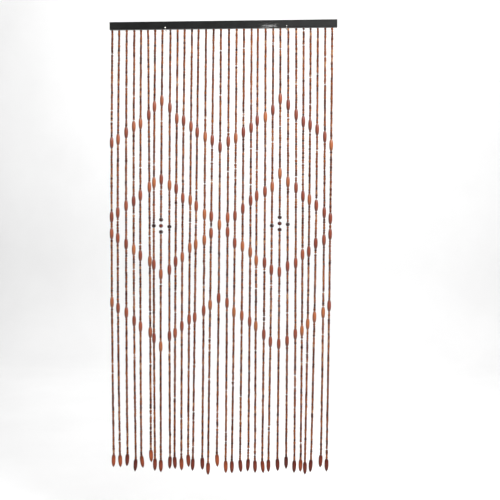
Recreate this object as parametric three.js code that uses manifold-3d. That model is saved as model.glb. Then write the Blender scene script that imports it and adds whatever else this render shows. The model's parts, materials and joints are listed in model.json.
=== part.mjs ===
// A bead curtain for a doorway: thirty-one strung strands on a black rail that rests on two wall hooks.
// Millimetres, +Z up. The origin is the middle of the rail's back, where it meets the wall.
// +X runs along the rail to the right as seen from the room, and +Y points into the wall.

import * as THREE from "three";
import { mergeVertices } from "three/addons/utils/BufferGeometryUtils.js";
import Module from "manifold-3d";

const wasm = await Module();
wasm.setup();

// Rail
const RAIL_LENGTH = 900;
const RAIL_DEPTH = 16;
const RAIL_HEIGHT = 30;
const RAIL_EASED_EDGE = 2.5;
const EASED_EDGE_STEPS = 4;
const RAIL_UNDERSIDE = -RAIL_HEIGHT / 2;
const CLEARANCE = 0.3;

// An arc gets two steps for each curve segment
const STEPS_PER_SEGMENT = 2;

// Strands, set out along the rail from its left end
const STRAND_PITCH = 29;
const END_TO_FIRST_STRAND = 11.5;
const FIRST_STRAND = END_TO_FIRST_STRAND - RAIL_LENGTH / 2;
const STRAND_Y = -RAIL_DEPTH / 2;
const STRAND_SIDES = 4;

// Heights where a strand's sideways place is given, and where an even strand ends
const STRAND_MIDDLE = -806;
const STRAND_FOOT = -1736;
const STRAND_END = -1773;

// The strands' cord and the rail's holes for it
const CORD_WIDTH = 2;
const CORD_IN_RAIL = 8;
const CORD_SHOWING = 1.5;
const HOLE_DEPTH = 10;
const HOLE_SIDES = 6;

// How a turned bead swells from the strand's width: place along its half length, share of the swell
const OVAL_SWELL = [
  [-1, 0],
  [-0.66, 0.8],
  [0, 1],
  [0.66, 0.8],
  [1, 0],
];
const ROUND_SWELL = [
  [-1, 0],
  [-0.6, 0.5],
  [0, 1],
  [0.6, 0.5],
  [1, 0],
];
const FOOT_SWELL = [
  [-1, 0],
  [-0.7, 0.8],
  [-0.3, 1],
  [0.5, 0.75],
  [1, 0],
];

// Beads: across and along
const SMALL_BEAD_WIDTH = 9.4;
const OVAL_BEAD = { width: 14.8, length: 47, swells: OVAL_SWELL };
const ROUND_BEAD = { width: 16.2, length: 16.2, swells: ROUND_SWELL };
const FOOT_BEAD = { width: 15.4, length: 48, swells: FOOT_SWELL };
const FOOT_TIP = 6.4;

// Between two beads nearer than this only the cord shows
const SHORTEST_RUN = 9.4;

// The zigzag rows: height of the bead on a diamond's middle strand, and the step to each next strand
const DIAMOND_STRANDS = 16;
const ZIGZAG_ROWS = [
  { slip: "row1", peak: -306, step: -23 },
  { slip: "row2", peak: -603, step: -23 },
  { slip: "row3", peak: -982, step: 23 },
  { slip: "row4", peak: -1269, step: 23 },
];

// The cross of round beads in each diamond: strands from its middle one, and places on that strand
const CROSS_HEIGHT = -793;
const CROSS_SPACING = 24.4;
const CROSS = [
  { strand: -1, places: [0] },
  { strand: 0, places: [1, 0, -1] },
  { strand: 1, places: [0] },
];

// How far the round beads sit above (+) or below (-) an even cross, by strand
const CROSS_SLIPS = { 9: -3, 23: 4, 24: 13, 25: 10 };

// How each strand hangs: sideways at the rail, at its middle and at its foot, how much it is longer (-) or
// shorter (+), how far its last bead leans, and how far its bead sits above or below each zigzag row
const HANG_COLUMNS = ["root", "middle", "foot", "drop", "lean", "row1", "row2", "row3", "row4"];
const HANG = [
  [-2, -5, 4, 0, -2, 5, 5, -5, 5],
  [-3, -9, 1, 0, 1, -5, 0, 0, 5],
  [-2, -4, 3, 5, -3, 0, 5, 0, 10],
  [0, -2, 8, -15, -4, 0, 0, 0, 0],
  [-2, -4, 2, 0, 6, -10, 0, 0, 0],
  [-3, 5, 12, 25, 2, 0, 10, 0, 0],
  [-3, -7, 0, -10, -1, 10, 5, 10, 0],
  [-3, -7, -5, -15, 0, 10, -5, -5, -10],
  [0, -2, 4, 0, -2, 5, -5, -10, 10],
  [0, -5, -7, 0, 3, -15, 5, 0, 0],
  [-1, -7, -8, -5, 1, 0, -10, -5, 5],
  [-1, -6, -10, 10, 3, 0, 5, 10, 10],
  [-4, -11, -19, -5, -1, 0, 5, 0, -5],
  [-3, -6, -10, 0, 1, 5, -5, -5, 0],
  [-2, -8, -15, -20, 0, 15, 10, 0, 0],
  [-2, -4, -9, 15, 3, 10, 0, 10, 5],
  [1, 0, -2, -10, 1, 10, 5, 5, 10],
  [2, 0, -6, -10, 1, 0, -10, -15, -5],
  [2, 2, -2, -5, 4, 0, -5, -5, 5],
  [3, 4, 2, 0, -2, -5, 5, -5, 5],
  [-1, -1, 0, -5, 1, 0, 0, -15, 10],
  [0, 3, 0, -5, 5, -10, -5, 0, 0],
  [1, 2, -4, 0, 1, -5, -10, -5, -5],
  [0, 4, 3, 5, 2, 15, 20, 10, 10],
  [2, 7, 9, 15, 0, 15, 10, 10, 0],
  [4, 10, 13, 0, -1, 0, 10, 0, 5],
  [4, 8, 9, 5, -1, -5, 0, 10, -5],
  [2, 4, -3, -5, 1, 5, 10, 0, 0],
  [1, 2, -8, 5, -2, 10, 10, 10, 5],
  [1, 5, 2, 25, -2, 5, 5, 0, 0],
  [-1, 0, -4, 10, 0, -5, 5, 0, 5],
];

// Hooks: a round bar, how far its middle is below the rail, its round bend, the height of its tip, and each
// hook's place along the rail and lean
const HOOK_BAR = 4;
const HOOK_SIDES = 8;
const HOOK_DROP = 6.3;
const HOOK_BEND = 10;
const HOOK_STEPS = 16;
const HOOK_TIP = -7;
const HOOKS = [
  { name: "hook_left", x: -224.5, lean: -10 },
  { name: "hook_right", x: 253, lean: 8 },
];

// How far along its tangents a quarter circle's handles lie
const QUARTER_HANDLE = 0.5523;

const BLACK_LACQUER = { color: 0x191a1b, roughness: 0.35, metalness: 0 };
const STAINED_WOOD = { color: 0x6e3420, roughness: 0.4, metalness: 0 };
const BRIGHT_STEEL = { color: 0xc9c8c4, roughness: 0.3, metalness: 1 };

// A closed geometry as a solid that can be cut
function solidOf(geometry) {
  const bare = geometry.clone();
  bare.deleteAttribute("normal");
  bare.deleteAttribute("uv");
  const merged = mergeVertices(bare, 1e-4);
  const vertProperties = merged.attributes.position.array;
  const triVerts = new Uint32Array(merged.index.array);
  return new wasm.Manifold(new wasm.Mesh({ numProp: 3, vertProperties, triVerts }));
}

// A cut solid as a geometry
function geometryOf(solid) {
  const { vertProperties, triVerts } = solid.getMesh();
  const geometry = new THREE.BufferGeometry();
  geometry.setAttribute("position", new THREE.BufferAttribute(vertProperties, 3));
  geometry.setIndex(new THREE.BufferAttribute(triVerts, 1));
  geometry.computeVertexNormals();
  return geometry;
}

function piece(name, geometry, finish) {
  const mesh = new THREE.Mesh(geometry, new THREE.MeshStandardMaterial(finish));
  mesh.name = name;
  return mesh;
}

// The strand's own row of the table, by column name
function hangOf(index) {
  return Object.fromEntries(HANG_COLUMNS.map((column, place) => [column, HANG[index][place]]));
}

// The strand's sideways place at a height: straight in the rail, then one even bow to its foot
function strandX(index, z) {
  const { root, middle, foot } = hangOf(index);
  const down = Math.min(z, RAIL_UNDERSIDE);
  const levels = [RAIL_UNDERSIDE, STRAND_MIDDLE, STRAND_FOOT];
  const shifts = [root, middle, foot];
  const shift = shifts.reduce((sum, value, a) => {
    const others = levels.filter((_, b) => b !== a);
    const weight = others.reduce((part, level) => (part * (down - level)) / (levels[a] - level), 1);
    return sum + value * weight;
  }, 0);
  return FIRST_STRAND + index * STRAND_PITCH + shift;
}

// Strands to the right (+) or left (-) of its diamond's middle strand
function strandsFromMiddle(index) {
  return ((index + 1) % DIAMOND_STRANDS) - DIAMOND_STRANDS / 2;
}

// The oval beads of a strand. Where two would meet, as between the diamonds, one bead sits midway.
function ovalBeads(index) {
  const hang = hangOf(index);
  const steps = Math.abs(strandsFromMiddle(index));
  const heights = ZIGZAG_ROWS.map((row) => row.peak + row.step * steps + hang[row.slip]);
  const [row1, row2, row3, row4] = heights;
  const meet = row2 - row3 < OVAL_BEAD.length;
  const inner = meet ? [(row2 + row3) / 2] : [row2, row3];
  return [row1, ...inner, row4].map((z) => ({ z, ...OVAL_BEAD }));
}

// The round beads of a strand that runs through a cross
function roundBeads(index) {
  const arm = CROSS.find(({ strand }) => strand === strandsFromMiddle(index));
  const places = arm ? arm.places : [];
  const height = CROSS_HEIGHT + (CROSS_SLIPS[index + 1] ?? 0);
  return places.map((place) => ({ z: height + place * CROSS_SPACING, ...ROUND_BEAD }));
}

// The strand's sections from the rail down: height, half width and how far a leaning bead moves it sideways
function strandSections(index) {
  const cord = CORD_WIDTH / 2;
  const strand = SMALL_BEAD_WIDTH / 2;
  const top = RAIL_UNDERSIDE - CORD_SHOWING;
  const { drop, lean } = hangOf(index);
  const sections = [
    [RAIL_UNDERSIDE + CORD_IN_RAIL, cord, 0],
    [top, cord, 0],
    [top, strand, 0],
  ];
  const foot = { z: STRAND_END + drop + FOOT_BEAD.length / 2, lean, ...FOOT_BEAD };
  const beads = [...ovalBeads(index), ...roundBeads(index), foot].sort((a, b) => b.z - a.z);
  for (const bead of beads) {
    for (const [place, swell] of bead.swells) {
      const half = strand + swell * (bead.width / 2 - strand);
      const aside = ((bead.lean ?? 0) * (place + 1)) / 2;
      sections.push([bead.z - (place * bead.length) / 2, half, aside]);
    }
  }
  sections.at(-1)[1] = FOOT_TIP / 2;
  for (let low = 1; low < sections.length; low++) {
    const ends = [sections[low - 1], sections[low]];
    const isRun = ends.every(([, half]) => half === strand);
    if (isRun && ends[0][0] - ends[1][0] < SHORTEST_RUN) {
      ends.forEach((end) => (end[1] = cord));
    }
  }
  return sections;
}

// A closed body of four-sided sections, with its corners to the front, back and sides
function strandGeometry(index) {
  const sections = strandSections(index);
  const points = [];
  const faces = [];
  for (const [z, half, aside] of sections) {
    const x = strandX(index, z) + aside;
    for (let side = 0; side < STRAND_SIDES; side++) {
      const turn = (side / STRAND_SIDES) * 2 * Math.PI;
      points.push(x + half * Math.cos(turn), STRAND_Y + half * Math.sin(turn), z);
    }
  }
  const corner = (section, side) => section * STRAND_SIDES + (side % STRAND_SIDES);
  for (let section = 0; section + 1 < sections.length; section++) {
    for (let side = 0; side < STRAND_SIDES; side++) {
      const [a, b] = [corner(section, side), corner(section, side + 1)];
      const [c, d] = [corner(section + 1, side), corner(section + 1, side + 1)];
      faces.push(a, c, b, b, c, d);
    }
  }
  const last = sections.length - 1;
  for (let side = 1; side + 1 < STRAND_SIDES; side++) {
    faces.push(corner(0, 0), corner(0, side), corner(0, side + 1));
    faces.push(corner(last, 0), corner(last, side + 1), corner(last, side));
  }
  const geometry = new THREE.BufferGeometry();
  geometry.setAttribute("position", new THREE.Float32BufferAttribute(points, 3));
  geometry.setIndex(faces);
  geometry.computeVertexNormals();
  return geometry;
}

// The rail's section with eased edges: depth across, height up
function railSection() {
  const [back, front] = [0, -RAIL_DEPTH];
  const [top, under] = [RAIL_HEIGHT / 2, RAIL_UNDERSIDE];
  const ease = RAIL_EASED_EDGE;
  const quarter = Math.PI / 2;
  const section = new THREE.Shape();
  section.moveTo(front + ease, under);
  section.lineTo(back, under);
  section.lineTo(back, top);
  section.lineTo(front + ease, top);
  section.absarc(front + ease, top - ease, ease, quarter, 2 * quarter);
  section.lineTo(front, under + ease);
  section.absarc(front + ease, under + ease, ease, 2 * quarter, 3 * quarter);
  return section;
}

// The rail, drilled from below for each strand's cord
function railGeometry() {
  const bar = new THREE.ExtrudeGeometry(railSection(), {
    depth: RAIL_LENGTH,
    bevelEnabled: false,
    curveSegments: EASED_EDGE_STEPS / STEPS_PER_SEGMENT,
  });
  const along = new THREE.Vector3(1, 0, 0);
  const across = new THREE.Vector3(0, 1, 0);
  const up = new THREE.Vector3(0, 0, 1);
  bar.applyMatrix4(new THREE.Matrix4().makeBasis(across, up, along));
  bar.translate(-RAIL_LENGTH / 2, 0, 0);
  const flat = Math.cos(Math.PI / HOLE_SIDES);
  const radius = (CORD_WIDTH / 2 + CLEARANCE) / flat;
  let rail = solidOf(bar);
  HANG.forEach((_, index) => {
    const drill = new THREE.CylinderGeometry(radius, radius, 2 * HOLE_DEPTH, HOLE_SIDES);
    drill.rotateX(Math.PI / 2);
    drill.translate(strandX(index, RAIL_UNDERSIDE), STRAND_Y, RAIL_UNDERSIDE);
    rail = rail.subtract(solidOf(drill));
  });
  return geometryOf(rail);
}

// A hook's bar: out of the wall, under the rail, and up round its lower front edge, which it clears
function hookGeometry() {
  const room = HOOK_BEND - HOOK_BAR / 2 - RAIL_EASED_EDGE - CLEARANCE;
  const above = HOOK_BEND - HOOK_DROP - RAIL_EASED_EDGE;
  const middle = RAIL_EASED_EDGE - RAIL_DEPTH + Math.sqrt(room ** 2 - above ** 2);
  const [shank, bendTop] = [-HOOK_DROP, HOOK_BEND - HOOK_DROP];
  const front = middle - HOOK_BEND;
  const handle = QUARTER_HANDLE * HOOK_BEND;
  const at = (y, z) => new THREE.Vector3(0, y, z);
  const line = new THREE.CurvePath();
  line.add(new THREE.LineCurve3(at(0, shank), at(middle, shank)));
  const handles = [at(middle - handle, shank), at(front, bendTop - handle)];
  line.add(new THREE.CubicBezierCurve3(at(middle, shank), ...handles, at(front, bendTop)));
  line.add(new THREE.LineCurve3(at(front, bendTop), at(front, HOOK_TIP - RAIL_UNDERSIDE)));
  const section = new THREE.Shape();
  section.absarc(0, 0, HOOK_BAR / 2, 0, 2 * Math.PI);
  return new THREE.ExtrudeGeometry(section, {
    steps: HOOK_STEPS,
    curveSegments: HOOK_SIDES / STEPS_PER_SEGMENT,
    extrudePath: line,
  });
}

const curtain = new THREE.Group();
curtain.add(piece("rail", railGeometry(), BLACK_LACQUER));
HANG.forEach((_, index) => {
  const name = `strand_${String(index + 1).padStart(2, "0")}`;
  curtain.add(piece(name, strandGeometry(index), STAINED_WOOD));
});
for (const { name, x, lean } of HOOKS) {
  const hook = piece(name, hookGeometry(), BRIGHT_STEEL);
  hook.position.set(x, 0, RAIL_UNDERSIDE);
  hook.rotation.y = THREE.MathUtils.degToRad(lean);
  curtain.add(hook);
}

export default curtain;
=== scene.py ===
# Bead curtain on a black rail: the single wooden beads, their cords and the finishes, in metres.
import json
import math

import bmesh
import bpy
import numpy as np
from mathutils import Matrix, Vector

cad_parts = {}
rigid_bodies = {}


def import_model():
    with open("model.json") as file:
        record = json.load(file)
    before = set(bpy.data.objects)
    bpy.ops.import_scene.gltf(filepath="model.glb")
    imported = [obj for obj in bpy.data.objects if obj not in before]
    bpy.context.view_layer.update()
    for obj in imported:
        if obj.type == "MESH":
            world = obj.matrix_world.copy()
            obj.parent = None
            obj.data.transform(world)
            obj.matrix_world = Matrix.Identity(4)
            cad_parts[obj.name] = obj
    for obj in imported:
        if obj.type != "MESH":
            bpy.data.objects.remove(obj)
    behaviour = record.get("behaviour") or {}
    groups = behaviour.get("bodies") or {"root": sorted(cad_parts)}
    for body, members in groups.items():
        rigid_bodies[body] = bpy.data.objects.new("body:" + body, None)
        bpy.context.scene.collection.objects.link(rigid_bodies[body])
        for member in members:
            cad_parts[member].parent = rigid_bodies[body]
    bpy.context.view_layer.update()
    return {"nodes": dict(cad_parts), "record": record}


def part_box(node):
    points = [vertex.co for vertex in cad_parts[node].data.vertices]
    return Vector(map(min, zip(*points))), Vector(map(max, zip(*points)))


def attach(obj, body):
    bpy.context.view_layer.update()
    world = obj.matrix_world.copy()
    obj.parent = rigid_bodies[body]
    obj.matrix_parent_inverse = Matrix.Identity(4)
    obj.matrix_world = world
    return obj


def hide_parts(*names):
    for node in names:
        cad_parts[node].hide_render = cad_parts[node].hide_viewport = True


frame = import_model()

# Small beads: one after another on the cord, uneven in length and width, and a few of them short
SMALL_BEAD_LENGTH = 0.0094
SMALL_BEAD_WIDTH = 0.0099
SMALL_LENGTH_CHANGE = 0.26
SMALL_WIDTH_CHANGE = 0.10
SHORT_BEADS = 0.03
SHORT_BEAD_LENGTH = 0.70
STRAND_SWAY = 0.0006
SHORTEST_RUN = 0.0095
RUN_STEPS = 8
STRANDS_PER_PIECE = 8
JOINT_SEED = 100
SMALL_BEAD_SEED = 500

# Larger beads: a solid's widest rings are theirs, five to a bead, and the short ones are round
BEAD_RINGS = 5
LARGE_BEAD_FROM = 0.0055
ROUND_BEAD_UNDER = 0.020
LARGE_BEADS = {
    "oval": {"width": 0.0154, "width_change": 0.03, "seed": 11},
    "round": {"width": 0.0168, "width_change": 0.02, "seed": 235},
    "foot": {"width": 0.0163, "width_change": 0.03, "seed": 31},
}
BEAD_SIDES = {"small": 8, "oval": 20, "round": 24, "foot": 20, "knot": 8}

# Turned outlines from the top end to the lower end: place along half the length, share of half the width
SMALL_PLACES = (-1, -0.96, -0.76, -0.30, 0.30, 0.76, 0.96, 1)
SMALL_SHARES = {
    "small_barrel": (0, 0.60, 0.90, 1.00, 1.00, 0.90, 0.60, 0),
    "small_pebble": (0, 0.54, 0.84, 1.00, 0.98, 0.78, 0.46, 0),
    "small_seed": (0, 0.48, 0.74, 0.93, 1.00, 0.89, 0.56, 0),
}
SMALL_OUTLINES = {name: list(zip(SMALL_PLACES, shares)) for name, shares in SMALL_SHARES.items()}
OVAL_SHAPE = {"widest": -0.05, "top_end": 0.50, "low_end": 0.46, "roundness": 2.7}
FOOT_SHAPE = {"widest": -0.25, "top_end": 0.56, "low_end": 0.42, "roundness": 3.0}
ROUND_HOLE = 0.30
LARGE_BEAD_ROWS = 11

# Cord and its knot under each strand's last bead
CORD_RADIUS = 0.0009
CORD_SIDES = 6
CORD_STEP = 0.04
KNOT_LENGTH = 0.0036
KNOT_IN_BEAD = KNOT_LENGTH / 4
KNOT_WIDTH = 0.0038
KNOT_WIDTH_CHANGE = 0.15
KNOT_SEED = 41

# Rail: edges that turn by more than this many degrees stay sharp
RAIL_SHARP_FROM = 40

# Hook bar, swept round
HOOK_SIDES = 20
HOOK_SHARP_FROM = 60
HOOK_BEND = 0.010
HOOK_BEND_STEPS = 12
HOOK_TIP_STEPS = 5
HOOK_END_SLANT = 0.0009

# Stain colours: share of the beads, and red, green and blue
SMALL_TINTS = [
    (0.00, (0.055, 0.010, 0.003)),
    (0.22, (0.120, 0.024, 0.005)),
    (0.60, (0.215, 0.050, 0.008)),
    (0.93, (0.310, 0.085, 0.014)),
    (0.98, (0.430, 0.210, 0.100)),
]
OVAL_TINTS = [
    (0.00, (0.200, 0.034, 0.016)),
    (0.55, (0.295, 0.066, 0.026)),
    (1.00, (0.400, 0.120, 0.036)),
]
ROUND_TINTS = [
    (0.00, (0.030, 0.005, 0.003)),
    (0.70, (0.050, 0.008, 0.004)),
    (1.00, (0.130, 0.018, 0.008)),
]
FOOT_TINTS = [
    (0.00, (0.085, 0.015, 0.012)),
    (0.45, (0.200, 0.036, 0.018)),
    (1.00, (0.360, 0.080, 0.028)),
]

# Wood grain: size and stretch along the bead, how dark and light its streaks are, and how deep
FINE_GRAIN = {"scale": 900.0, "stretch": 0.18, "dark": 0.72, "light": 1.25, "bump": 0.25}
LONG_GRAIN = {"scale": 520.0, "stretch": 0.07, "dark": 0.66, "light": 1.30, "bump": 0.20}

# Painted shade along a bead, from its top end to its lower end: darker towards both ends where beads meet,
# and on the ovals darker at the lower end than at the top, as if lit from above
SMALL_PAINTED_SHADE = [(0.0, 0.45), (0.25, 0.95), (0.75, 0.95), (1.0, 0.45)]
OVAL_PAINTED_SHADE = [(0.0, 0.60), (0.18, 1.00), (0.50, 1.00), (0.82, 0.62), (1.0, 0.42)]
ROUND_PAINTED_SHADE = [(0.0, 0.70), (0.30, 1.00), (0.70, 1.00), (1.0, 0.70)]
FOOT_PAINTED_SHADE = [(0.0, 0.50), (0.35, 1.00), (0.60, 1.00), (0.85, 0.70), (1.0, 0.50)]

# Each kind of bead's stain, grain and painted shade, and the roughness, shine and coat of its lacquer
STAINS_AND_PAINTED_SHADE = {
    "small": {"tints": SMALL_TINTS, "grain": FINE_GRAIN, "painted_shade": SMALL_PAINTED_SHADE},
    "oval": {"tints": OVAL_TINTS, "grain": LONG_GRAIN, "painted_shade": OVAL_PAINTED_SHADE},
    "round": {"tints": ROUND_TINTS, "grain": LONG_GRAIN, "painted_shade": ROUND_PAINTED_SHADE},
    "foot": {"tints": FOOT_TINTS, "grain": LONG_GRAIN, "painted_shade": FOOT_PAINTED_SHADE},
}
LACQUERS = {
    "small": {"roughness": (0.28, 0.40), "shine": 0.14, "coat": 0.0},
    "oval": {"roughness": (0.28, 0.42), "shine": 0.50, "coat": 0.25},
    "round": {"roughness": (0.16, 0.24), "shine": 0.45, "coat": 0.15},
    "foot": {"roughness": (0.28, 0.44), "shine": 0.15, "coat": 0.04},
}
COAT_ROUGHNESS = 0.12
GRAIN_DEPTH = 0.0004

# Camera that sees the curtain as the picture does
CAMERA_PLACE = (0.3455, -3.0, -0.7684)
CAMERA_YAW = 4.394
CAMERA_PITCH = 2.245
CAMERA_ROLL = 0.418
CAMERA_LENS = 54.44

# Studio
FLOOR_HEIGHT = -2.10
SWEEP_HALF_WIDTH = 12.0
SWEEP_FRONT = -6.0
SWEEP_BACK = 4.4
SWEEP_TOP = 6.0
SWEEP_BEND = 0.9
SWEEP_BEND_STEPS = 16
SURROUNDING_LIGHT = 0.32

# Soft lights: place, point aimed at, width and height, and watts
CURTAIN_MIDDLE = (0, 0, -0.85)
SOFT_LIGHTS = {
    "key": ((1.5, -1.9, 1.4), CURTAIN_MIDDLE, (0.9, 0.9), 130),
    "front": ((0.75, -3.1, 0.8), CURTAIN_MIDDLE, (1.4, 0.8), 10),
    "rail_glint": ((0.025, -3.0, 0.748), (0.18, 0, 0), (0.11, 0.006), 0.9),
    "backdrop": ((0, 1.6, 2.6), (0, 3.4, -1.6), (5.0, 1.2), 145),
}


# Strands as they hang, read from their solids


def strand_rings(node):
    """A strand solid's rings from the rail down: the middle's x, the height and half the width."""
    corners = np.unique(np.round([v.co for v in node.data.vertices], 5), axis=0)
    rings = []
    for height in np.unique(corners[:, 2])[::-1]:
        across = corners[corners[:, 2] == height, 0]
        rings.append(((across.min() + across.max()) / 2, height, np.ptp(across) / 2))
    return np.array(rings)


class Strand:
    """One hanging strand: its line, its larger beads by kind and the runs of small beads between them."""

    def __init__(self, name):
        self.name = name
        low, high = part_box(name)
        self.y = (low.y + high.y) / 2
        rings = strand_rings(frame["nodes"][name])
        points = [Vector((x, self.y, height)) for x, height, _ in rings]
        hanging = rings[: 1 - BEAD_RINGS]
        self.bend = np.polyfit(hanging[:, 1], hanging[:, 0], 2)
        self.root = points[0]
        self.beads = []
        self.runs = []
        run_top = rings[1, 1]
        last = len(rings) - 1
        for i in range(2, last):
            if rings[i, 2] < max(LARGE_BEAD_FROM, rings[i - 1, 2], rings[i + 1, 2]):
                continue
            top, end = points[i - 2], points[i + 2]
            if i + 2 == last:
                kind = "foot"
            elif top.z - end.z < ROUND_BEAD_UNDER:
                kind = "round"
            else:
                kind = "oval"
            self.beads.append((kind, [top, end]))
            if run_top - top.z > SHORTEST_RUN:
                self.runs.append((run_top, top.z))
            run_top = end.z
        self.foot_top, self.tip = points[-BEAD_RINGS], points[-1]

    def point(self, height):
        return (float(np.polyval(self.bend, height)), self.y, float(height))

    def stretch(self, top, end, steps=1):
        """Points on the strand's line from one height down to another."""
        return [self.point(height) for height in np.linspace(top, end, steps + 1)]


def line_mesh(name, lines):
    """An object of loose edges that follow the given lines of points."""
    points = []
    edges = []
    for line in lines:
        first = len(points)
        points += line
        edges += [(i, i + 1) for i in range(first, first + len(line) - 1)]
    mesh = bpy.data.meshes.new(name)
    mesh.from_pydata(points, edges, [])
    piece = bpy.data.objects.new(name, mesh)
    bpy.context.scene.collection.objects.link(piece)
    return piece


# Turned bead forms


def turned_form(name, outline, sides, holder):
    """A closed turned bead one unit wide and long, with its own map and each point's place along it."""
    places = []
    corners = []
    for place, share in outline:
        for side in range(sides):
            angle = 2 * math.pi * side / sides
            corners.append((share / 2 * math.cos(angle), share / 2 * math.sin(angle), place / 2))
            places.append(place)
    faces = []
    spots = []
    rows = len(outline) - 1
    for row in range(rows):
        for side in range(sides):
            after = (side + 1) % sides
            ring = row * sides
            face = [(ring + side, side, row), (ring + after, side + 1, row)]
            face += [(ring + sides + after, side + 1, row + 1), (ring + sides + side, side, row + 1)]
            faces.append([corner for corner, _, _ in face])
            spots += [(u / sides, v / rows) for _, u, v in face]
    mesh = bpy.data.meshes.new(name)
    mesh.from_pydata(corners, [], faces)
    mesh.uv_layers.new(name="bead_map").uv.foreach_set("vector", np.ravel(spots))
    mesh.attributes.new("from_middle", "FLOAT", "POINT").data.foreach_set("value", places)
    form = bmesh.new()
    form.from_mesh(mesh)
    bmesh.ops.remove_doubles(form, verts=form.verts, dist=1e-6)
    bmesh.ops.recalc_face_normals(form, faces=form.faces)
    form.to_mesh(mesh)
    form.free()
    holder.objects.link(bpy.data.objects.new(name, mesh))


def spindle_outline(widest, top_end, low_end, roundness):
    """A long bead's outline: a drilled hole and a soft lip at each end, and an even swell between."""
    outline = [(-0.965, 0), (-0.975, 0.20), (-1.0, 0.26)]
    outline += [(-0.994, 0.72 * top_end), (-0.970, 0.93 * top_end)]
    for place in np.linspace(-0.93, 0.93, LARGE_BEAD_ROWS):
        end, reach = (top_end, -1) if place < widest else (low_end, 1)
        toward_end = (place - widest) / (reach - widest)
        outline.append((place, end + (1 - end) * (1 - toward_end**roundness)))
    outline += [(0.970, 0.93 * low_end), (0.994, 0.72 * low_end)]
    return outline + [(1.0, 0.24), (0.975, 0.20), (0.965, 0)]


def ball_outline(hole):
    """A round bead's outline, with a drilled hole at each end."""
    outline = [(-0.90, 0)]
    turn = math.asin(hole)
    for angle in np.linspace(turn, math.pi - turn, LARGE_BEAD_ROWS + 3):
        outline.append((-math.cos(angle), math.sin(angle)))
    return outline + [(0.90, 0)]


def bead_forms(kind, outlines):
    """A collection of turned forms for one kind of bead."""
    holder = bpy.data.collections.new(f"{kind}_forms")
    bpy.context.scene.collection.children.link(holder)
    for name, outline in outlines.items():
        turned_form(name, outline, BEAD_SIDES[kind], holder)
    return holder


def clear_forms(holder):
    for form in list(holder.objects):
        bpy.data.meshes.remove(form.data)
    bpy.data.collections.remove(holder)


# Geometry Nodes


class Wiring:
    """Adds nodes to a tree, with each input either a value or another node's socket."""

    def __init__(self, tree):
        self.tree = tree

    def add(self, kind, inputs=None, **settings):
        node = self.tree.nodes.new(kind)
        for name, value in settings.items():
            setattr(node, name, value)
        self.set(node, inputs or {})
        return node

    def set(self, node, inputs):
        for socket, value in inputs.items():
            if isinstance(value, bpy.types.NodeSocket):
                self.tree.links.new(value, node.inputs[socket])
            else:
                node.inputs[socket].default_value = value

    def math(self, operation, first, second=0.0):
        return self.add("ShaderNodeMath", {0: first, 1: second}, operation=operation).outputs[0]

    def vector_math(self, operation, first, second, output="Vector"):
        return self.add("ShaderNodeVectorMath", {0: first, 1: second}, operation=operation).outputs[output]

    def scaled(self, vector, factor):
        node = self.add("ShaderNodeVectorMath", {0: vector, "Scale": factor}, operation="SCALE")
        return node.outputs["Vector"]

    def between(self, low, high, seed):
        """A random number for each element."""
        node = self.add("FunctionNodeRandomValue", {2: low, 3: high, "Seed": seed}, data_type="FLOAT")
        return node.outputs[1]

    def seed(self, seed, step):
        return self.math("ADD", seed, float(step))

    def stored(self, geometry, name, value, kind, domain):
        inputs = {"Geometry": geometry, "Name": name, "Value": value}
        node = self.add("GeometryNodeStoreNamedAttribute", inputs, data_type=kind, domain=domain)
        return node.outputs["Geometry"]

    def named(self, name, kind):
        node = self.add("GeometryNodeInputNamedAttribute", {"Name": name}, data_type=kind)
        return node.outputs["Attribute"]

    def without(self, geometry, name):
        node = self.add("GeometryNodeRemoveAttribute", {"Geometry": geometry, "Name": name})
        return node.outputs["Geometry"]


def new_tree(name, inputs):
    """An empty tree with the named inputs. Gives its wiring and its input sockets."""
    tree = bpy.data.node_groups.new(name, "GeometryNodeTree")
    tree.is_modifier = True
    tree.interface.new_socket("Geometry", in_out="OUTPUT", socket_type="NodeSocketGeometry")
    tree.interface.new_socket("Geometry", in_out="INPUT", socket_type="NodeSocketGeometry")
    for label, kind in inputs.items():
        tree.interface.new_socket(label, in_out="INPUT", socket_type=f"NodeSocket{kind}")
    return Wiring(tree), tree.nodes.new("NodeGroupInput").outputs


def tree_result(wiring, geometry):
    wiring.add("NodeGroupOutput", {"Geometry": geometry})
    return wiring.tree


def bead_joints_tree():
    """Splits each run of cord into uneven lengths, one for each small bead."""
    wiring, given = new_tree(
        "bead_joints", {"Bead Length": "Float", "Unevenness": "Float", "Sway": "Float", "Seed": "Int"}
    )
    runs = wiring.add("GeometryNodeMeshToCurve", {"Mesh": given["Geometry"]})
    evenly = wiring.add(
        "GeometryNodeResampleCurve",
        {"Curve": runs.outputs["Curve"], "Length": given["Bead Length"]},
        mode="LENGTH",
    )
    ends = wiring.add("GeometryNodeCurveEndpointSelection")
    inner = wiring.add("FunctionNodeBooleanMath", {0: ends.outputs["Selection"]}, operation="NOT")
    most = wiring.math("MULTIPLY", given["Bead Length"], given["Unevenness"])
    shift = wiring.between(wiring.math("MULTIPLY", most, -1.0), most, given["Seed"])
    along = wiring.scaled(wiring.add("GeometryNodeInputTangent").outputs["Tangent"], shift)
    sway_low = wiring.math("MULTIPLY", given["Sway"], -1.0)
    sway = wiring.add("ShaderNodeCombineXYZ")
    for axis, step in (("X", 1), ("Y", 2)):
        swing = wiring.between(sway_low, given["Sway"], wiring.seed(given["Seed"], step))
        wiring.set(sway, {axis: swing})
    moved = wiring.add(
        "GeometryNodeSetPosition",
        {
            "Geometry": evenly.outputs["Curve"],
            "Selection": inner.outputs["Boolean"],
            "Offset": wiring.vector_math("ADD", along, sway.outputs["Vector"]),
        },
    )
    edges = wiring.add("GeometryNodeCurveToMesh", {"Curve": moved.outputs["Geometry"]})
    return tree_result(wiring, edges.outputs["Mesh"])


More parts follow.
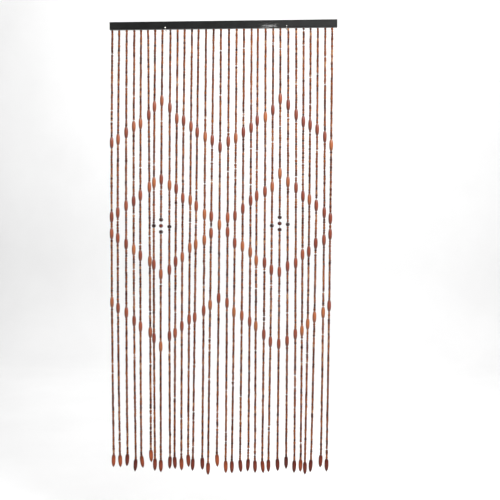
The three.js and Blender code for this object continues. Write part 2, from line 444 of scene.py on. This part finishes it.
def strung_beads_tree():
    """Puts one bead on each edge, with its own turn, width and tint. A short one bares the cord below."""
    wiring, given = new_tree(
        "strung_beads",
        {
            "Bead Forms": "Collection",
            "Form Count": "Int",
            "Bead Width": "Float",
            "Width Change": "Float",
            "Short Beads": "Float",
            "Short Length": "Float",
            "Finish": "Material",
            "Seed": "Int",
        },
    )
    ends = wiring.add("GeometryNodeInputMeshEdgeVertices")
    axis = wiring.vector_math("SUBTRACT", ends.outputs["Position 1"], ends.outputs["Position 2"])
    edges = wiring.stored(given["Geometry"], "bead_axis", axis, "FLOAT_VECTOR", "EDGE")
    middles = wiring.add("GeometryNodeMeshToPoints", {"Mesh": edges}, mode="EDGES")
    bead_axis = wiring.named("bead_axis", "FLOAT_VECTOR")
    length = wiring.vector_math("LENGTH", bead_axis, (0.0, 0.0, 0.0), "Value")
    down = wiring.scaled(bead_axis, -1.0)
    chance = wiring.between(0.0, 1.0, wiring.seed(given["Seed"], 8))
    is_short = wiring.math("LESS_THAN", chance, given["Short Beads"])
    bare = wiring.math("MULTIPLY", is_short, wiring.math("SUBTRACT", 1.0, given["Short Length"]))
    raised = wiring.add(
        "GeometryNodeSetPosition",
        {
            "Geometry": middles.outputs["Points"],
            "Offset": wiring.scaled(bead_axis, wiring.math("MULTIPLY", bare, 0.5)),
        },
    )
    upright = wiring.add("FunctionNodeAlignRotationToVector", {"Vector": down}, axis="Z")
    spin = wiring.add(
        "FunctionNodeAxisAngleToRotation",
        {"Axis": (0.0, 0.0, 1.0), "Angle": wiring.between(0.0, 2 * math.pi, wiring.seed(given["Seed"], 3))},
    )
    turned = wiring.add(
        "FunctionNodeRotateRotation",
        {"Rotation": upright.outputs["Rotation"], "Rotate By": spin.outputs["Rotation"]},
        rotation_space="LOCAL",
    )
    bead_length = wiring.math("MULTIPLY", length, wiring.math("SUBTRACT", 1.0, bare))
    size = wiring.add("ShaderNodeCombineXYZ", {"Z": bead_length})
    narrowest = wiring.math("SUBTRACT", 1.0, given["Width Change"])
    widest = wiring.math("ADD", 1.0, given["Width Change"])
    for side, step in (("X", 4), ("Y", 5)):
        share = wiring.between(narrowest, widest, wiring.seed(given["Seed"], step))
        wiring.set(size, {side: wiring.math("MULTIPLY", given["Bead Width"], share)})
    forms = wiring.add(
        "GeometryNodeCollectionInfo",
        {"Collection": given["Bead Forms"], "Separate Children": True, "Reset Children": True},
    )
    pick = wiring.between(0.0, given["Form Count"], wiring.seed(given["Seed"], 6))
    beads = wiring.add(
        "GeometryNodeInstanceOnPoints",
        {
            "Points": raised.outputs["Geometry"],
            "Instance": forms.outputs["Instances"],
            "Pick Instance": True,
            "Instance Index": wiring.math("FLOOR", pick),
            "Rotation": turned.outputs["Rotation"],
            "Scale": size.outputs["Vector"],
        },
    )
    number = wiring.add("GeometryNodeInputIndex").outputs["Index"]
    count = wiring.add(
        "GeometryNodeAttributeDomainSize", {0: beads.outputs["Instances"]}, component="INSTANCES"
    )
    tint = wiring.between(0.0, 1.0, wiring.seed(given["Seed"], 7))
    tinted = wiring.stored(beads.outputs["Instances"], "bead_tint", tint, "FLOAT", "INSTANCE")
    numbered = wiring.stored(tinted, "bead_number", number, "INT", "INSTANCE")
    whole = wiring.add("GeometryNodeRealizeInstances", {"Geometry": numbered}).outputs["Geometry"]
    mapped = bead_cells(wiring, whole, count.outputs["Instance Count"])
    smooth = wiring.add("GeometryNodeSetShadeSmooth", {"Geometry": mapped}).outputs["Geometry"]
    finished = wiring.add("GeometryNodeSetMaterial", {"Geometry": smooth, "Material": given["Finish"]})
    return tree_result(wiring, finished.outputs["Geometry"])


def bead_cells(wiring, geometry, count):
    """Lays the beads' maps side by side, one square cell for each bead."""
    cells = wiring.math("CEIL", wiring.math("SQRT", count))
    number = wiring.named("bead_number", "INT")
    column = wiring.math("MODULO", number, cells)
    row = wiring.math("FLOOR", wiring.math("DIVIDE", number, cells))
    corner = wiring.add("ShaderNodeCombineXYZ", {"X": column, "Y": row}).outputs["Vector"]
    within = wiring.scaled(wiring.named("bead_map", "FLOAT_VECTOR"), 0.9)
    inset = wiring.vector_math("ADD", within, (0.05, 0.05, 0.0))
    place = wiring.scaled(wiring.vector_math("ADD", corner, inset), wiring.math("DIVIDE", 1.0, cells))
    mapped = wiring.stored(geometry, "OFBake", place, "FLOAT2", "CORNER")
    for done in ("bead_map", "bead_number", "bead_axis"):
        mapped = wiring.without(mapped, done)
    return mapped


def cord_tree():
    """A round cord along each line."""
    wiring, given = new_tree("cord", {"Radius": "Float", "Sides": "Int", "Finish": "Material"})
    line = wiring.add("GeometryNodeMeshToCurve", {"Mesh": given["Geometry"]})
    section = wiring.add(
        "GeometryNodeCurvePrimitiveCircle",
        {"Resolution": given["Sides"], "Radius": given["Radius"]},
        mode="RADIUS",
    )
    tube = wiring.add(
        "GeometryNodeCurveToMesh",
        {"Curve": line.outputs["Curve"], "Profile Curve": section.outputs["Curve"], "Fill Caps": True},
    )
    whole = wiring.add("GeometryNodeRealizeInstances", {"Geometry": tube.outputs["Mesh"]})
    smooth = wiring.add("GeometryNodeSetShadeSmooth", {"Geometry": whole.outputs["Geometry"]})
    finished = wiring.add(
        "GeometryNodeSetMaterial", {"Geometry": smooth.outputs["Geometry"], "Material": given["Finish"]}
    )
    return tree_result(wiring, finished.outputs["Geometry"])


def shape_with(piece, tree, values):
    """Adds a tree to a piece as a modifier, with its named inputs set."""
    modifier = piece.modifiers.new(tree.name, "NODES")
    modifier.node_group = tree
    sockets = {item.name: item.identifier for item in tree.interface.items_tree if item.in_out == "INPUT"}
    for label, value in values.items():
        modifier[sockets[label]] = value


def made_plain(piece):
    """Turns a piece and its modifiers into one plain mesh."""
    graph = bpy.context.evaluated_depsgraph_get()
    mesh = bpy.data.meshes.new_from_object(
        piece.evaluated_get(graph), preserve_all_data_layers=True, depsgraph=graph
    )
    mesh.name = piece.name
    piece.modifiers.clear()
    drawn = piece.data
    piece.data = mesh
    bpy.data.meshes.remove(drawn)
    return piece


# Finishes


def new_finish(name):
    """An empty finish. Gives its material, wiring and shader."""
    material = bpy.data.materials.new(name)
    material.use_nodes = True
    material.node_tree.nodes.clear()
    wiring = Wiring(material.node_tree)
    shader = wiring.add("ShaderNodeBsdfPrincipled")
    wiring.add("ShaderNodeOutputMaterial", {"Surface": shader.outputs["BSDF"]})
    return material, wiring, shader


def ramp(wiring, factor, stops):
    """Colours along a scale, from (place, (red, green, blue)) stops."""
    node = wiring.add("ShaderNodeValToRGB", {"Fac": factor})
    scale = node.color_ramp.elements
    while len(scale) < len(stops):
        scale.new(1.0)
    for mark, (place, colour) in zip(scale, stops):
        mark.position = place
        mark.color = (*colour, 1.0)
    return node.outputs["Color"]


def spread(wiring, value, low, high, least=0.0, most=1.0):
    """A value between a least and a most, brought to another range."""
    inputs = {"Value": value, "From Min": least, "From Max": most, "To Min": low, "To Max": high}
    return wiring.add("ShaderNodeMapRange", inputs).outputs["Result"]


def noise(wiring, vector, scale, detail=3.0, roughness=0.55, distortion=0.0):
    inputs = {"Vector": vector, "Scale": scale, "Detail": detail}
    inputs |= {"Roughness": roughness, "Distortion": distortion}
    return wiring.add("ShaderNodeTexNoise", inputs).outputs["Fac"]


def bumped(wiring, height, strength, distance):
    node = wiring.add("ShaderNodeBump", {"Height": height, "Strength": strength, "Distance": distance})
    return node.outputs["Normal"]


def stained_bead_with_painted_shade(kind):
    """Stained and lacquered wood: a tint for each bead and grain along it, with painted shade that darkens
    its ends and, on the ovals, its lower end most.
    """
    stain, lacquer = STAINS_AND_PAINTED_SHADE[kind], LACQUERS[kind]
    grain = stain["grain"]
    material, wiring, shader = new_finish(f"{kind}_bead_stain")
    tint = wiring.add("ShaderNodeAttribute", attribute_name="bead_tint").outputs["Fac"]
    from_middle = wiring.add("ShaderNodeAttribute", attribute_name="from_middle").outputs["Fac"]
    place = wiring.add("ShaderNodeTexCoord").outputs["Object"]
    own = wiring.add("ShaderNodeCombineXYZ", {"X": tint, "Y": tint, "Z": tint}).outputs["Vector"]
    apart = wiring.vector_math("ADD", place, wiring.scaled(own, 3.7))
    along = wiring.vector_math("MULTIPLY", apart, (1.0, 1.0, grain["stretch"]))
    fine = noise(wiring, along, grain["scale"], 4.0, 0.6, 0.4)
    broad = noise(wiring, along, grain["scale"] * 0.28, 2.0, 0.5, 0.8)
    colour = ramp(wiring, tint, stain["tints"])
    both = wiring.math("ADD", wiring.math("MULTIPLY", fine, 0.55), wiring.math("MULTIPLY", broad, 0.45))
    streaks = spread(wiring, both, grain["dark"], grain["light"], 0.3, 0.7)
    stained = wiring.scaled(colour, streaks)
    # Painted shade: the stain is darkened towards the bead's ends, and on the ovals more at the lower end,
    # as if lit from above
    along_bead = spread(wiring, from_middle, 0.0, 1.0, -1.0, 1.0)
    shade = ramp(wiring, along_bead, [(end, (level, level, level)) for end, level in stain["painted_shade"]])
    wiring.set(
        shader,
        {
            "Base Color": wiring.vector_math("MULTIPLY", stained, shade),
            "Roughness": spread(wiring, fine, *lacquer["roughness"]),
            "Normal": bumped(wiring, fine, grain["bump"], GRAIN_DEPTH),
            "Coat Weight": lacquer["coat"],
            "Coat Roughness": COAT_ROUGHNESS,
            "Specular IOR Level": lacquer["shine"],
        },
    )
    return material


def rail_lacquer():
    """Black lacquer on wood, with faint brushed streaks along the rail and soft patches."""
    material, wiring, shader = new_finish("rail_black_lacquer")
    place = wiring.add("ShaderNodeTexCoord").outputs["Object"]
    along = wiring.vector_math("MULTIPLY", place, (0.05, 1.0, 1.0))
    streaks = noise(wiring, along, 420.0, 4.0, 0.6)
    patches = noise(wiring, place, 26.0, 3.0, 0.6)
    both = wiring.math("MULTIPLY", wiring.math("ADD", streaks, patches), 0.5)
    colour = ramp(wiring, both, [(0.30, (0.0080, 0.0082, 0.0082)), (0.70, (0.0190, 0.0195, 0.0190))])
    wiring.set(
        shader,
        {
            "Base Color": colour,
            "Roughness": spread(wiring, both, 0.28, 0.36),
            "Normal": bumped(wiring, streaks, 0.12, 0.0003),
            "Specular IOR Level": 0.10,
            "Coat Weight": 0.06,
            "Coat Roughness": 0.04,
        },
    )
    return material


def hook_steel():
    """Bright plated bar with fine drawn lines and a few dull spots."""
    material, wiring, shader = new_finish("hook_bright_steel")
    place = wiring.add("ShaderNodeTexCoord").outputs["Object"]
    drawn = noise(wiring, wiring.vector_math("MULTIPLY", place, (1.0, 0.12, 0.5)), 2400.0, 2.0, 0.5)
    spots = noise(wiring, place, 420.0, 3.0, 0.6)
    wiring.set(
        shader,
        {
            "Base Color": ramp(wiring, spots, [(0.3, (0.40, 0.39, 0.37)), (0.7, (0.62, 0.61, 0.58))]),
            "Metallic": 1.0,
            "Roughness": spread(wiring, wiring.math("MULTIPLY", drawn, spots), 0.14, 0.42),
            "Normal": bumped(wiring, drawn, 0.10, 0.0001),
        },
    )
    return material


def brown_cord():
    """Twisted brown thread: slanting ply lines and a soft, matt nap."""
    material, wiring, shader = new_finish("brown_cord")
    place = wiring.add("ShaderNodeTexCoord").outputs["Object"]
    ply = wiring.add(
        "ShaderNodeTexWave",
        {"Vector": place, "Scale": 260.0, "Distortion": 1.5, "Detail": 2.0},
        bands_direction="DIAGONAL",
    ).outputs["Fac"]
    nap = noise(wiring, place, 3000.0, 2.0, 0.6)
    both = wiring.math("MULTIPLY", wiring.math("ADD", ply, nap), 0.5)
    colour = ramp(wiring, both, [(0.15, (0.060, 0.032, 0.020)), (0.85, (0.260, 0.160, 0.105))])
    wiring.set(
        shader,
        {
            "Base Color": colour,
            "Roughness": spread(wiring, nap, 0.75, 0.95),
            "Normal": bumped(wiring, both, 0.5, 0.0003),
            "Sheen Weight": 0.2,
        },
    )
    return material


# Beads on their cords


def finish_piece(piece, nodes):
    """Hides the solids a piece stands for and attaches it to the curtain's body, so that it moves with the
    curtain.
    """
    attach(piece, "root")
    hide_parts(*nodes)


def string_small_beads(strands, joints, beads):
    """The small beads, a few strands to a piece."""
    finish = stained_bead_with_painted_shade("small")
    forms = bead_forms("small", SMALL_OUTLINES)
    for first in range(0, len(strands), STRANDS_PER_PIECE):
        together = strands[first : first + STRANDS_PER_PIECE]
        name = f"small_beads_{first + 1:02d}_to_{first + len(together):02d}"
        runs = []
        for strand in together:
            runs += [strand.stretch(top, end, RUN_STEPS) for top, end in strand.runs]
        piece = line_mesh(name, runs)
        shape_with(
            piece,
            joints,
            {
                "Bead Length": SMALL_BEAD_LENGTH,
                "Unevenness": SMALL_LENGTH_CHANGE,
                "Sway": STRAND_SWAY,
                "Seed": JOINT_SEED + first,
            },
        )
        shape_with(
            piece,
            beads,
            {
                "Bead Forms": forms,
                "Form Count": len(SMALL_OUTLINES),
                "Bead Width": SMALL_BEAD_WIDTH,
                "Width Change": SMALL_WIDTH_CHANGE,
                "Short Beads": SHORT_BEADS,
                "Short Length": SHORT_BEAD_LENGTH,
                "Finish": finish,
                "Seed": SMALL_BEAD_SEED + first,
            },
        )
        finish_piece(made_plain(piece), [strand.name for strand in together])
    clear_forms(forms)


def string_large_beads(strands, beads, kind, outline):
    """All the larger beads of one kind, as one piece."""
    lines = []
    wearers = []
    for strand in strands:
        own = [line for bead_kind, line in strand.beads if bead_kind == kind]
        if own:
            wearers.append(strand.name)
        lines += own
    piece = line_mesh(f"{kind}_beads", lines)
    forms = bead_forms(kind, {kind: outline})
    size = LARGE_BEADS[kind]
    shape_with(
        piece,
        beads,
        {
            "Bead Forms": forms,
            "Form Count": 1,
            "Bead Width": size["width"],
            "Width Change": size["width_change"],
            "Finish": stained_bead_with_painted_shade(kind),
            "Seed": size["seed"],
        },
    )
    finish_piece(made_plain(piece), wearers)
    clear_forms(forms)


def string_cords(strands, cord, beads):
    """The cords from the rail's holes down through the beads, and a knot under each last bead."""
    finish = brown_cord()
    names = [strand.name for strand in strands]
    lines = []
    knots = []
    for strand in strands:
        steps = math.ceil((strand.root.z - strand.foot_top.z) / CORD_STEP)
        lines.append(strand.stretch(strand.root.z, strand.foot_top.z, steps) + [strand.tip])
        along = (strand.tip - strand.foot_top).normalized()
        knots.append([strand.tip - along * KNOT_IN_BEAD, strand.tip + along * KNOT_LENGTH])
    piece = line_mesh("cords", lines)
    shape_with(piece, cord, {"Radius": CORD_RADIUS, "Sides": CORD_SIDES, "Finish": finish})
    finish_piece(made_plain(piece), names)
    forms = bead_forms("knot", {"knot": SMALL_OUTLINES["small_pebble"]})
    piece = line_mesh("cord_knots", knots)
    shape_with(
        piece,
        beads,
        {
            "Bead Forms": forms,
            "Form Count": 1,
            "Bead Width": KNOT_WIDTH,
            "Width Change": KNOT_WIDTH_CHANGE,
            "Finish": finish,
            "Seed": KNOT_SEED,
        },
    )
    finish_piece(made_plain(piece), names)
    clear_forms(forms)


# Rail and hooks


def merged_copy(name, node):
    """A copy of a solid's mesh with its loose triangles joined."""
    piece = bpy.data.objects.new(name, frame["nodes"][node].data.copy())
    piece.data.name = name
    bpy.context.scene.collection.objects.link(piece)
    joined = bmesh.new()
    joined.from_mesh(piece.data)
    bmesh.ops.remove_doubles(joined, verts=joined.verts, dist=1e-6)
    joined.to_mesh(piece.data)
    joined.free()
    return piece


def lacquered_rail():
    """The rail, smooth round its eased edges and flat between them."""
    piece = merged_copy("lacquered_rail", "rail")
    piece.data.shade_smooth()
    piece.data.set_sharp_from_angle(angle=math.radians(RAIL_SHARP_FROM))
    piece.data.materials.clear()
    piece.data.materials.append(rail_lacquer())
    flat_faces = piece.modifiers.new("flat_faces", "WEIGHTED_NORMAL")
    flat_faces.keep_sharp = True
    flat_faces.weight = 100
    finish_piece(made_plain(piece), ["rail"])


def hook_rings(root, tip, radius):
    """A hook bar's ring middles, directions and radii: out from the wall, round its bend and to its tip."""
    rise = Vector((tip.x - root.x, 0, tip.z - root.z)).normalized()
    out = Vector((0, -1, 0))
    bend = HOOK_BEND
    corner = Vector((root.x, tip.y, root.z))
    rings = [(root, out, radius)]
    start = corner - out * bend
    for step in range(HOOK_BEND_STEPS + 1):
        turn = math.pi / 2 * step / HOOK_BEND_STEPS
        middle = start + out * bend * math.sin(turn) + rise * bend * (1 - math.cos(turn))
        rings.append((middle, out * math.cos(turn) + rise * math.sin(turn), radius))
    for step in range(HOOK_TIP_STEPS + 1):
        turn = math.pi / 2 * step / HOOK_TIP_STEPS
        rings.append((tip - rise * radius * (1 - math.sin(turn)), rise, radius * math.cos(turn)))
    return rings


def steel_hook(node, finish):
    """One hook as a round bar, from the wall end and the tip of its solid."""
    mounts = {mount["name"]: mount["pos_m"] for mount in frame["record"]["mounts"]}
    root = Vector(mounts[f"{node}_end"])
    corners = np.array([v.co for v in frame["nodes"][node].data.vertices])
    end_face = corners[corners[:, 2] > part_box(node)[1].z - HOOK_END_SLANT]
    tip = Vector((end_face.min(0) + end_face.max(0)) / 2)
    radius = float(np.ptp(end_face[:, 1])) / 2
    side = Vector((0, -1, 0)).cross(tip - root).normalized()
    points = []
    faces = []
    rings = hook_rings(root, tip, radius)
    for middle, direction, ring_radius in rings:
        across = direction.cross(side)
        for step in range(HOOK_SIDES):
            turn = 2 * math.pi * step / HOOK_SIDES
            points.append(middle + ring_radius * (side * math.cos(turn) + across * math.sin(turn)))
    for ring in range(len(rings) - 1):
        for step in range(HOOK_SIDES):
            after = (step + 1) % HOOK_SIDES
            here, there = ring * HOOK_SIDES, (ring + 1) * HOOK_SIDES
            faces.append((here + step, here + after, there + after, there + step))
    faces.append(tuple(range(HOOK_SIDES)))
    mesh = bpy.data.meshes.new(f"steel_{node}")
    mesh.from_pydata(points, [], faces)
    bar = bmesh.new()
    bar.from_mesh(mesh)
    bmesh.ops.remove_doubles(bar, verts=bar.verts, dist=1e-6)
    bmesh.ops.recalc_face_normals(bar, faces=bar.faces)
    bar.to_mesh(mesh)
    bar.free()
    mesh.shade_smooth()
    mesh.set_sharp_from_angle(angle=math.radians(HOOK_SHARP_FROM))
    mesh.materials.append(finish)
    piece = bpy.data.objects.new(mesh.name, mesh)
    bpy.context.scene.collection.objects.link(piece)
    finish_piece(piece, [node])


# Studio


def pale_sweep():
    """A pale floor that curves up into a backdrop well behind the curtain."""
    section = [(SWEEP_FRONT, FLOOR_HEIGHT)]
    for step in range(SWEEP_BEND_STEPS + 1):
        turn = math.pi / 2 * step / SWEEP_BEND_STEPS
        across = SWEEP_BACK - SWEEP_BEND * (1 - math.sin(turn))
        section.append((across, FLOOR_HEIGHT + SWEEP_BEND * (1 - math.cos(turn))))
    section.append((SWEEP_BACK, SWEEP_TOP))
    points = [(side * SWEEP_HALF_WIDTH, y, z) for y, z in section for side in (-1, 1)]
    faces = [(2 * i, 2 * i + 1, 2 * i + 3, 2 * i + 2) for i in range(len(section) - 1)]
    mesh = bpy.data.meshes.new("pale_sweep")
    mesh.from_pydata(points, [], faces)
    mesh.shade_smooth()
    material, wiring, shader = new_finish("pale_paper")
    place = wiring.add("ShaderNodeTexCoord").outputs["Object"]
    paper = noise(wiring, place, 1.5)
    colour = ramp(wiring, paper, [(0.3, (0.86, 0.86, 0.86)), (0.7, (0.90, 0.90, 0.90))])
    wiring.set(shader, {"Base Color": colour, "Roughness": 0.9})
    mesh.materials.append(material)
    sweep = bpy.data.objects.new("pale_sweep", mesh)
    bpy.context.scene.collection.objects.link(sweep)


def soft_light(name, place, aim, size, power):
    """A soft light with a flat, oblong face, aimed at a point."""
    light = bpy.data.lights.new(name, "AREA")
    light.shape = "RECTANGLE"
    light.size, light.size_y = size
    light.energy = power
    lamp = bpy.data.objects.new(name, light)
    lamp.location = place
    lamp.rotation_euler = (Vector(aim) - Vector(place)).to_track_quat("-Z", "Y").to_euler()
    bpy.context.scene.collection.objects.link(lamp)


def studio():
    """A pale sweep, an even white surrounding and the soft lights."""
    scene = bpy.context.scene
    scene.view_settings.view_transform = "Standard"
    world = bpy.data.worlds.new("studio")
    world.use_nodes = True
    surroundings = world.node_tree.nodes["Background"].inputs
    surroundings["Color"].default_value = (1.0, 1.0, 1.0, 1.0)
    surroundings["Strength"].default_value = SURROUNDING_LIGHT
    scene.world = world
    pale_sweep()
    for name, setting in SOFT_LIGHTS.items():
        soft_light(name, *setting)


def camera():
    """The picture's viewpoint: right of the curtain's middle, turned left, with a slight roll."""
    yaw, pitch, roll = (math.radians(angle) for angle in (CAMERA_YAW, CAMERA_PITCH, CAMERA_ROLL))
    ahead = Vector((-math.sin(yaw) * math.cos(pitch), math.cos(yaw) * math.cos(pitch), -math.sin(pitch)))
    right = ahead.cross(Vector((0, 0, 1))).normalized()
    up = right.cross(ahead)
    rolled_right = math.cos(roll) * right + math.sin(roll) * up
    rolled_up = math.cos(roll) * up - math.sin(roll) * right
    lens = bpy.data.cameras.new("camera")
    lens.lens = CAMERA_LENS
    viewer = bpy.data.objects.new("camera", lens)
    turn = Matrix((rolled_right, rolled_up, -ahead)).transposed()
    viewer.matrix_world = Matrix.Translation(CAMERA_PLACE) @ turn.to_4x4()
    bpy.context.scene.collection.objects.link(viewer)
    bpy.context.scene.camera = viewer


def curtain():
    """All the curtain's pieces, strung on the lines of its solids."""
    strands = [Strand(name) for name in sorted(frame["nodes"]) if name.startswith("strand_")]
    joints = bead_joints_tree()
    beads = strung_beads_tree()
    string_small_beads(strands, joints, beads)
    outlines = {
        "oval": spindle_outline(**OVAL_SHAPE),
        "round": ball_outline(ROUND_HOLE),
        "foot": spindle_outline(**FOOT_SHAPE),
    }
    for kind, outline in outlines.items():
        string_large_beads(strands, beads, kind, outline)
    string_cords(strands, cord_tree(), beads)
    lacquered_rail()
    steel = hook_steel()
    for node in ("hook_left", "hook_right"):
        steel_hook(node, steel)


camera()
studio()
curtain()
